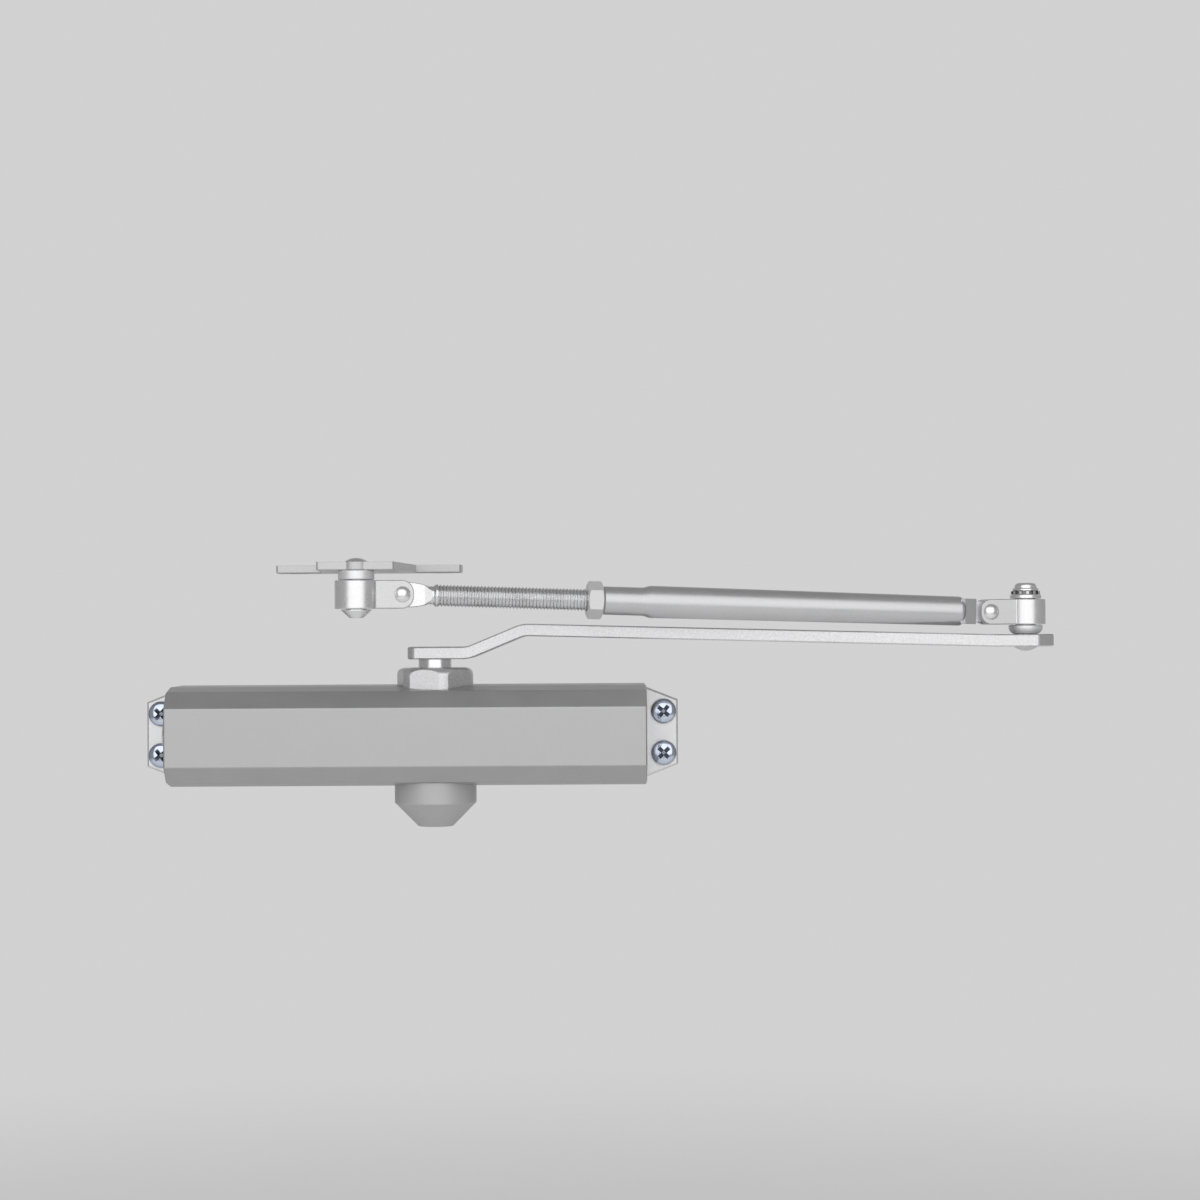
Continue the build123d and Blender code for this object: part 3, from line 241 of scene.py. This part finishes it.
def cross_cutter():
    """Tapered cross that cuts the driver recess."""
    shape = bmesh.new()
    long = RECESS_SPAN / 2
    wide = RECESS_WIDTH / 2
    levels = ((SCREW_HEAD_HEIGHT - RECESS_DEPTH, RECESS_FLOOR_SHARE, wide * RECESS_FLOOR_WIDTH_SHARE),
              (RECESS_TOP_HEIGHT, RECESS_TOP_SHARE, wide))
    for quarter in range(2):
        corners = []
        for height, share, width in levels:
            for x, y in ((-1, -1), (1, -1), (1, 1), (-1, 1)):
                corner = Vector((x * long * share, y * width, height))
                corner.rotate(Matrix.Rotation(quarter * pi / 2, 3, "Z"))
                corners.append(shape.verts.new(corner))
        for face in BLOCK_FACES:
            shape.faces.new([corners[index] for index in face])
    mesh = bpy.data.meshes.new("cross_cutter")
    shape.to_mesh(mesh)
    shape.free()
    return mesh


def cut_head():
    """Screw head with its cross recess, as corners and faces round Z."""
    head = new_object("screw_head", mesh_from("screw_head", *lathe(head_profile())))
    cutter = bpy.data.objects.new("cross_cutter", cross_cutter())
    bpy.context.scene.collection.objects.link(cutter)
    cut = head.modifiers.new("recess", "BOOLEAN")
    cut.object = cutter
    cut.operation = "DIFFERENCE"
    cut.solver = "EXACT"
    cut.use_self = True
    graph = bpy.context.evaluated_depsgraph_get()
    result = bpy.data.meshes.new_from_object(head.evaluated_get(graph))
    part = ([vertex.co.copy() for vertex in result.vertices],
            [tuple(polygon.vertices) for polygon in result.polygons])
    bpy.data.objects.remove(head)
    bpy.data.objects.remove(cutter)
    return part


# Mounting screws: head and recess in front of the ear, thread behind it
screw_head = cut_head()
screw_end = -EAR_THICKNESS - SCREW_GRIP
screw_root_radius = SCREW_RADIUS - SCREW_THREAD_DEPTH
shank_profile = [(SCREW_SHANK_RADIUS, 0.0), (SCREW_SHANK_RADIUS, -EAR_THICKNESS),
                 (screw_root_radius, -EAR_THICKNESS), (screw_root_radius, screw_end + SCREW_PITCH),
                 (SCREW_RADIUS / 2, screw_end), (0.0, screw_end)]
screw_thread = thread(screw_end, -EAR_THICKNESS, SCREW_RADIUS, SCREW_THREAD_DEPTH, SCREW_PITCH)
screws_low, screws_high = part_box("mounting_screws")
screw_places = []
for x in (screws_low.x + SCREW_HEAD_RADIUS, screws_high.x - SCREW_HEAD_RADIUS):
    for z in (screws_low.z + SCREW_HEAD_RADIUS, screws_high.z - SCREW_HEAD_RADIUS):
        screw_places.append(Vector((x, -EAR_THICKNESS, z)))
screws = []
for number, (place, turn) in enumerate(zip(screw_places, RECESS_TURNS), start=1):
    axes = (axes_matrix(place, Vector((1, 0, 0)), Vector((0, 0, 1)), Vector((0, -1, 0)))
            @ Matrix.Rotation(radians(turn), 4, "Z"))
    name = "cross_screw_" + str(number)
    part = placed(joined(screw_head, lathe(shank_profile), screw_thread), axes)
    screws.append(new_object(name, mesh_from(name, *part)))


def spring_length(name, split, outer_gone):
    """The part of the closing spring on one side of an upright plane, with its cut closed."""
    coil = bmesh.new()
    coil.from_mesh(frame["nodes"]["main_spring"].data)
    bmesh.ops.remove_doubles(coil, verts=coil.verts, dist=WELD)
    cut = bmesh.ops.bisect_plane(
        coil, geom=coil.verts[:] + coil.edges[:] + coil.faces[:], plane_co=split,
        plane_no=Vector((1, 0, 0)), clear_outer=outer_gone, clear_inner=not outer_gone)
    rim = [item for item in cut["geom_cut"] if isinstance(item, bmesh.types.BMEdge)]
    bmesh.ops.holes_fill(coil, edges=rim)
    mesh = bpy.data.meshes.new(name)
    coil.to_mesh(mesh)
    coil.free()
    return new_object(name, mesh)


# Closing spring: cut in two lengths, one on the piston's side and one on the seat's side, in the ratio of
# their travel
spring_low, spring_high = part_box("main_spring")
spring_split = (spring_low + spring_high) / 2
piston_share = PISTON_TRAVEL / (PISTON_TRAVEL + SEAT_TRAVEL)
spring_split.x = spring_high.x - piston_share * (spring_high.x - spring_low.x)
piston_side_spring = spring_length("piston_side_spring", spring_split, False)
seat_side_spring = spring_length("seat_side_spring", spring_split, True)

# Finish: how flat an edge counts for the painted edge highlight, and how far the slow clouds change the
# roughness
EDGE_HIGHLIGHT_ALIKE = (0.75, 0.985)
CLOUD_ROUGHNESS = 0.08

# Zones of the finishes, among them painted shade and painted reflection
BODY_END = 106.9 * MM
EAR_TONE = 1.62
SHOE_BOSS_RADIUS = 9.4 * MM
ELBOW_BOSS_RADIUS = 8.95 * MM
SHOE_EAR_TONE = 0.72
ELBOW_EAR_TONE = 0.65
# Painted shade in the gaps between the lock washer's teeth: darker within this radius of its axis
WASHER_GAP_RADIUS = 6.4 * MM
WASHER_GAP_SHADE_TONE = 0.25
# Painted shade on the pressed flat of the tube, between these distances along X
FLAT_START = 248.9 * MM
FLAT_END = 253.9 * MM
FLAT_SHADE_TONE = 0.6
# Painted reflection on the rims of the screw heads and painted shade in their cross recesses
RIM_REFLECTION_START = 4.4 * MM
RIM_REFLECTION_TONE = 0.6
RECESS_SHADE_TONE = 0.3
RECESS_DARK_BELOW = 2.45 * MM
RECESS_LIGHT_ABOVE = 3.0 * MM
ZONE_BLEND = 0.15 * MM


def add_node(tree, kind, inputs=None, **settings):
    """A shader node with its settings; an input is a value or the socket that feeds it."""
    node = tree.nodes.new(kind)
    for setting, value in settings.items():
        setattr(node, setting, value)
    for socket, value in (inputs or {}).items():
        if isinstance(value, bpy.types.NodeSocket):
            tree.links.new(value, node.inputs[socket])
        else:
            node.inputs[socket].default_value = value
    return node


def spread(tree, value, low, high, start=0.3, end=0.7):
    """The value mapped from start..end to low..high."""
    return add_node(tree, "ShaderNodeMapRange", {
        "Value": value, "From Min": start, "From Max": end, "To Min": low, "To Max": high,
    }).outputs["Result"]


def product(tree, first, second):
    """Two values multiplied."""
    return add_node(tree, "ShaderNodeMath", {0: first, 1: second},
                    operation="MULTIPLY").outputs["Value"]


def ear_zone(tree, place):
    """Tone of the housing: its two ears lie lighter than the long body."""
    across = add_node(tree, "ShaderNodeSeparateXYZ", {"Vector": place}).outputs["X"]
    reach = add_node(tree, "ShaderNodeMath", {0: across}, operation="ABSOLUTE").outputs["Value"]
    return spread(tree, reach, 1.0, EAR_TONE, BODY_END, BODY_END + ZONE_BLEND)


def flat_shade_zone(tree, place):
    """Tone of the tube: painted shade darkens the pressed flat before its tang."""
    along = add_node(tree, "ShaderNodeSeparateXYZ", {"Vector": place}).outputs["X"]
    entered = spread(tree, along, 1.0, FLAT_SHADE_TONE, FLAT_START, FLAT_START + ZONE_BLEND)
    left = spread(tree, along, 1.0, 1.0 / FLAT_SHADE_TONE, FLAT_END, FLAT_END + ZONE_BLEND)
    return product(tree, entered, left)


def screw_shade_and_reflection(tree, place):
    """Painted light on a screw: its rim is darker as a painted reflection, and the depth of its cross recess
    is darker as painted shade.
    """
    folded = add_node(tree, "ShaderNodeVectorMath", {0: place}, operation="ABSOLUTE").outputs["Vector"]
    from_axis = add_node(tree, "ShaderNodeVectorMath", {
        0: folded, 1: (screw_places[-1].x, 0.0, screw_places[-1].z)}, operation="SUBTRACT").outputs["Vector"]
    level = add_node(tree, "ShaderNodeVectorMath", {
        0: from_axis, 1: (1.0, 0.0, 1.0)}, operation="MULTIPLY").outputs["Vector"]
    reach = add_node(tree, "ShaderNodeVectorMath", {0: level}, operation="LENGTH").outputs["Value"]
    # Painted reflection: the rim of the head darker towards its edge
    rim = spread(tree, reach, 1.0, RIM_REFLECTION_TONE, RIM_REFLECTION_START, SCREW_HEAD_RADIUS)
    inside = spread(tree, reach, 1.0, 0.0, RECESS_SPAN / 2, RECESS_SPAN / 2 + ZONE_BLEND)
    depth = add_node(tree, "ShaderNodeSeparateXYZ", {"Vector": place}).outputs["Y"]
    # Painted shade: darker deeper in the cross recess
    deep_shade = spread(tree, depth, 0.0, 1.0 - RECESS_SHADE_TONE, -EAR_THICKNESS - RECESS_LIGHT_ABOVE,
                  -EAR_THICKNESS - RECESS_DARK_BELOW)
    before_ear = spread(tree, depth, 1.0, 0.0, -EAR_THICKNESS - ZONE_BLEND, -EAR_THICKNESS)
    inside = product(tree, inside, before_ear)
    open_share = add_node(tree, "ShaderNodeMath", {0: 1.0, 1: product(tree, inside, deep_shade)},
                          operation="SUBTRACT").outputs["Value"]
    return product(tree, open_share, rim)


def round_zone(node, radius, inner, outer):
    """Tone that changes at a radius from the upright axis of a node."""
    low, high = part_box(node)
    middle = (low + high) / 2

    def tone(tree, place):
        arm = add_node(tree, "ShaderNodeVectorMath", {
            0: place, 1: (middle.x, middle.y, 0.0)}, operation="SUBTRACT").outputs["Vector"]
        level = add_node(tree, "ShaderNodeVectorMath", {
            0: arm, 1: (1.0, 1.0, 0.0)}, operation="MULTIPLY").outputs["Vector"]
        reach = add_node(tree, "ShaderNodeVectorMath", {0: level}, operation="LENGTH").outputs["Value"]
        return spread(tree, reach, inner, outer, radius, radius + ZONE_BLEND)

    return tone


def surface(name, colour, metallic, roughness, grain=0.45, grain_depth=0.012, grain_tone=0.05,
            cloud=18.0, cloud_tone=0.03, rough_range=0.06, edge=0.35, edge_highlight_tone=1.12,
            stretch=(1.0, 1.0, 1.0), zone=None):
    """Procedural finish: fine grain, slow clouds, a painted highlight along edges. Sizes in millimetres."""
    material = bpy.data.materials.new(name)
    material.use_nodes = True
    tree = material.node_tree
    tree.nodes.clear()
    place = add_node(tree, "ShaderNodeTexCoord").outputs["Object"]
    stretched = add_node(tree, "ShaderNodeMapping", {"Vector": place, "Scale": stretch}).outputs["Vector"]
    fine = add_node(tree, "ShaderNodeTexNoise", {
        "Vector": stretched, "Scale": 1.0 / (grain * MM), "Detail": 3.0, "Roughness": 0.65,
    }).outputs["Fac"]
    slow = add_node(tree, "ShaderNodeTexNoise", {
        "Vector": place, "Scale": 1.0 / (cloud * MM), "Detail": 4.0, "Roughness": 0.55,
    }).outputs["Fac"]
    flat_normal = add_node(tree, "ShaderNodeNewGeometry").outputs["Normal"]
    round_normal = add_node(tree, "ShaderNodeBevel", {"Radius": edge * MM}, samples=4).outputs["Normal"]
    alike = add_node(tree, "ShaderNodeVectorMath", {0: flat_normal, 1: round_normal},
                     operation="DOT_PRODUCT").outputs["Value"]
    # Painted highlight: edges lighter where the rounded normal turns from the surface normal, in patches of
    # the slow clouds
    edge_highlight = product(tree, spread(tree, alike, 1.0, 0.0, *EDGE_HIGHLIGHT_ALIKE), spread(tree, slow, 0.5, 1.0))
    tone = product(tree, spread(tree, fine, 1.0 - grain_tone, 1.0 + grain_tone),
                   spread(tree, slow, 1.0 - cloud_tone, 1.0 + cloud_tone))
    highlit_tone = product(tree, tone, spread(tree, edge_highlight, 1.0, edge_highlight_tone, 0.0, 1.0))
    if zone:
        highlit_tone = product(tree, highlit_tone, zone(tree, place))
    shade = add_node(tree, "ShaderNodeVectorMath", {0: colour, "Scale": highlit_tone}, operation="SCALE")
    polish = product(tree, spread(tree, fine, roughness - rough_range, roughness + rough_range),
                     spread(tree, slow, 1.0 - CLOUD_ROUGHNESS, 1.0 + CLOUD_ROUGHNESS))
    bump = add_node(tree, "ShaderNodeBump", {
        "Height": fine, "Distance": grain_depth * MM, "Strength": 1.0, "Normal": round_normal,
    }).outputs["Normal"]
    shader = add_node(tree, "ShaderNodeBsdfPrincipled", {
        "Base Color": shade.outputs["Vector"], "Metallic": metallic, "Roughness": polish,
        "Normal": bump,
    })
    add_node(tree, "ShaderNodeOutputMaterial", {"Surface": shader.outputs["BSDF"]})
    return material


finishes = {
    "silver_paint": surface("silver_paint", (0.50, 0.50, 0.505), 0.7, 0.40, edge_highlight_tone=1.25,
                            zone=ear_zone),
    "arm_paint": surface("arm_paint", (0.74, 0.74, 0.75), 0.8, 0.36, grain=0.8, grain_depth=0.03,
                         grain_tone=0.14),
    "shoe_metal": surface("shoe_metal", (0.88, 0.88, 0.89), 0.85, 0.32, grain=0.5, grain_depth=0.02,
                          edge_highlight_tone=1.5, zone=round_zone("shoe_stud", SHOE_BOSS_RADIUS, 1.0, SHOE_EAR_TONE)),
    "elbow_metal": surface("elbow_metal", (0.88, 0.88, 0.89), 0.85, 0.32, grain=0.5, grain_depth=0.02,
                           edge_highlight_tone=1.5,
                           zone=round_zone("elbow_stud", ELBOW_BOSS_RADIUS, 1.0, ELBOW_EAR_TONE)),
    # Tube paint, with painted shade on its pressed flat
    "tube_paint_flat_shade": surface("tube_paint_flat_shade", (0.66, 0.66, 0.67), 0.8, 0.36, grain=0.6, grain_depth=0.02,
                          zone=flat_shade_zone),
    "rod_zinc": surface("rod_zinc", (0.84, 0.84, 0.85), 0.9, 0.28, grain=0.35, cloud=9.0,
                        cloud_tone=0.06, edge=0.2),
    # Lock washer, with painted shade within the radius of its gaps
    "washer_zinc_gap_shade": surface("washer_zinc_gap_shade", (0.92, 0.92, 0.93), 0.9, 0.30, grain=0.35,
                           zone=round_zone("elbow_lock_washer", WASHER_GAP_RADIUS, WASHER_GAP_SHADE_TONE, 1.0)),
    "satin_zinc": surface("satin_zinc", (0.94, 0.94, 0.95), 0.85, 0.5, grain=0.35),
    "zinc": surface("zinc", (0.92, 0.92, 0.93), 0.9, 0.28, grain=0.35, cloud=9.0, cloud_tone=0.06,
                    edge=0.2),
    # Chrome screws, with a painted reflection on the rim and painted shade in the recess
    "chrome": surface("chrome", (0.66, 0.72, 0.84), 1.0, 0.12, grain=0.5, grain_depth=0.006,
                      cloud=5.0, cloud_tone=0.1, rough_range=0.03, edge=0.12, zone=screw_shade_and_reflection),
    "steel": surface("steel", (0.88, 0.88, 0.89), 1.0, 0.24, grain=0.3, stretch=(1.0, 1.0, 0.08)),
    "cap_grey": surface("cap_grey", (0.55, 0.55, 0.55), 0.3, 0.45, grain=0.5, edge=0.6,
                        edge_highlight_tone=1.25),
    "brass": surface("brass", (0.72, 0.52, 0.25), 1.0, 0.26, grain=0.3),
    "rubber": surface("rubber", (0.03, 0.03, 0.032), 0.0, 0.6, grain=0.4, edge_highlight_tone=1.6),
    "iron": surface("iron", (0.33, 0.33, 0.34), 0.8, 0.5, grain=0.7, grain_depth=0.04),
    "bracket_paint": surface("bracket_paint", (0.62, 0.62, 0.62), 0.7, 0.42, grain=0.6,
                             grain_depth=0.03),
}
node_finishes = {
    "forearm_tube": "tube_paint_flat_shade",
    "elbow_knuckle": "elbow_metal",
    "shoe_knuckle": "shoe_metal",
    "elbow_spacer": "satin_zinc",
    "shoe_spacer": "satin_zinc",
    "elbow_lock_washer": "washer_zinc_gap_shade",
    "elbow_pin": "zinc",
    "shoe_pin": "zinc",
}

# Finishes on the pieces
for part in frame["record"]["subparts"]:
    node = frame["nodes"][part["node"]]
    finish = finishes[node_finishes.get(part["node"], part["material_slot"])]
    for slot in node.material_slots:
        slot.material = finish

# Bodies that the dressed pieces ride on, and the nodes that they stand for
rod.data.materials.append(finishes["rod_zinc"])
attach(rod, "rod")
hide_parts("forearm_rod")
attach(lock_nut, "nut")
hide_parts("lock_nut")
for screw in screws:
    screw.data.materials.append(finishes["chrome"])
    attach(screw, "shell")
    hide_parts("mounting_screws")

for length, joint in ((piston_side_spring, "piston_slide"), (seat_side_spring, "spring_seat_slide")):
    length.data.materials.append(finishes["steel"])
    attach(length, "shell")
    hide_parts("main_spring")
    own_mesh(length)

# Floor: a wide pale disc that fades into the background at its rim
FLOOR_DROP = -0.5
FLOOR_RADIUS = 2.2
FLOOR_FADE = (0.9, 2.15)
FLOOR_GLOW = 0.2
FLOOR_MIDDLE_X = 0.08
FLOOR_STEPS = 96
FLOOR_COLOUR = (0.88, 0.88, 0.88)
MOTTLE_SCALE = 9.0
MOTTLE_TONE = 0.015
floor_corners, floor_faces = lathe([(0.0, 0.0), (FLOOR_RADIUS, 0.0)], FLOOR_STEPS)
floor = new_object("floor", mesh_from("floor", floor_corners, floor_faces))
floor.location = (FLOOR_MIDDLE_X, 0.0, FLOOR_DROP)
floor_finish = bpy.data.materials.new("floor_finish")
floor_finish.use_nodes = True
tree = floor_finish.node_tree
tree.nodes.clear()
place = add_node(tree, "ShaderNodeTexCoord").outputs["Object"]
reach = add_node(tree, "ShaderNodeVectorMath", {0: place}, operation="LENGTH").outputs["Value"]
fade = add_node(tree, "ShaderNodeMapRange", {
    "Value": reach, "From Min": FLOOR_FADE[0], "From Max": FLOOR_FADE[1], "To Min": 0.0, "To Max": 1.0,
}, interpolation_type="SMOOTHSTEP").outputs["Result"]
mottle = add_node(tree, "ShaderNodeTexNoise", {
    "Vector": place, "Scale": MOTTLE_SCALE, "Detail": 5.0}).outputs["Fac"]
floor_tone = add_node(tree, "ShaderNodeVectorMath", {
    0: FLOOR_COLOUR, "Scale": spread(tree, mottle, 1.0 - MOTTLE_TONE, 1.0 + MOTTLE_TONE),
}, operation="SCALE").outputs["Vector"]
matt = add_node(tree, "ShaderNodeBsdfDiffuse", {"Color": floor_tone}).outputs["BSDF"]
ray = add_node(tree, "ShaderNodeLightPath").outputs
seen = add_node(tree, "ShaderNodeMath", {
    0: ray["Is Camera Ray"], 1: ray["Is Glossy Ray"]}, operation="MAXIMUM").outputs["Value"]
seen = add_node(tree, "ShaderNodeMath", {
    0: seen, 1: ray["Is Transmission Ray"]}, operation="MAXIMUM").outputs["Value"]
glow = add_node(tree, "ShaderNodeEmission", {
    "Color": (1.0, 1.0, 1.0, 1.0), "Strength": product(tree, seen, FLOOR_GLOW)}).outputs["Emission"]
lit = add_node(tree, "ShaderNodeAddShader", {0: matt, 1: glow}).outputs["Shader"]
clear = add_node(tree, "ShaderNodeBsdfTransparent").outputs["BSDF"]
mixed = add_node(tree, "ShaderNodeMixShader", {0: fade, 1: lit, 2: clear}).outputs["Shader"]
add_node(tree, "ShaderNodeOutputMaterial", {"Surface": mixed})
floor.data.materials.append(floor_finish)

# World: pale behind the object, mid grey round the rest of it and dimmer overhead
SKY_BACK = 0.64
SKY_FRONT = 0.30
SKY_BACK_EDGE = (0.7, 0.96)
SKY_OVERHEAD_SHARE = 0.8
SKY_OVERHEAD_EDGE = (0.24, 0.7)
world = bpy.data.worlds.new("world")
world.use_nodes = True
tree = world.node_tree
tree.nodes.clear()
direction = add_node(tree, "ShaderNodeTexCoord").outputs["Generated"]
parts = add_node(tree, "ShaderNodeSeparateXYZ", {"Vector": direction}).outputs
level = add_node(tree, "ShaderNodeMapRange", {
    "Value": parts["Y"], "From Min": SKY_BACK_EDGE[0], "From Max": SKY_BACK_EDGE[1],
    "To Min": SKY_FRONT, "To Max": SKY_BACK,
}, interpolation_type="SMOOTHSTEP").outputs["Result"]
share = add_node(tree, "ShaderNodeMapRange", {
    "Value": parts["Z"], "From Min": SKY_OVERHEAD_EDGE[0], "From Max": SKY_OVERHEAD_EDGE[1],
    "To Min": 1.0, "To Max": SKY_OVERHEAD_SHARE,
}, interpolation_type="SMOOTHSTEP").outputs["Result"]
background = add_node(tree, "ShaderNodeBackground", {
    "Color": (1.0, 1.0, 1.0, 1.0), "Strength": product(tree, level, share)}).outputs["Background"]
add_node(tree, "ShaderNodeOutputWorld", {"Surface": background})
bpy.context.scene.world = world


# Lamp: one large soft box in front of the object and above it
BOX_PLACE = (0.12, -1.62, 0.70)
BOX_AIM = (0.12, 0.0, 0.05)
BOX_WIDTH = 3.4
BOX_HEIGHT = 2.4
BOX_RADIANCE = 1.0


def softbox(name, place, aim, width, height, radiance):
    """Rectangular area light at a place, turned to an aim point."""
    lamp = bpy.data.lights.new(name, "AREA")
    lamp.shape = "RECTANGLE"
    lamp.size = width
    lamp.size_y = height
    lamp.energy = radiance * pi * width * height
    piece = bpy.data.objects.new(name, lamp)
    piece.location = place
    piece.rotation_euler = (Vector(aim) - Vector(place)).to_track_quat("-Z", "Y").to_euler()
    piece.visible_camera = False
    bpy.context.scene.collection.objects.link(piece)


softbox("front_box", BOX_PLACE, BOX_AIM, BOX_WIDTH, BOX_HEIGHT, BOX_RADIANCE)

# Camera and colour
camera_data = bpy.data.cameras.new("camera")
camera_data.lens = CAMERA_LENS
camera_data.sensor_width = CAMERA_SENSOR
camera = bpy.data.objects.new("camera", camera_data)
camera.matrix_world = (Matrix.Translation(CAMERA_PLACE) @ Matrix.Rotation(CAMERA_PITCH, 4, "X")
                       @ Matrix.Rotation(CAMERA_ROLL, 4, "Z"))
bpy.context.scene.collection.objects.link(camera)
bpy.context.scene.camera = camera
bpy.context.scene.view_settings.view_transform = "Standard"
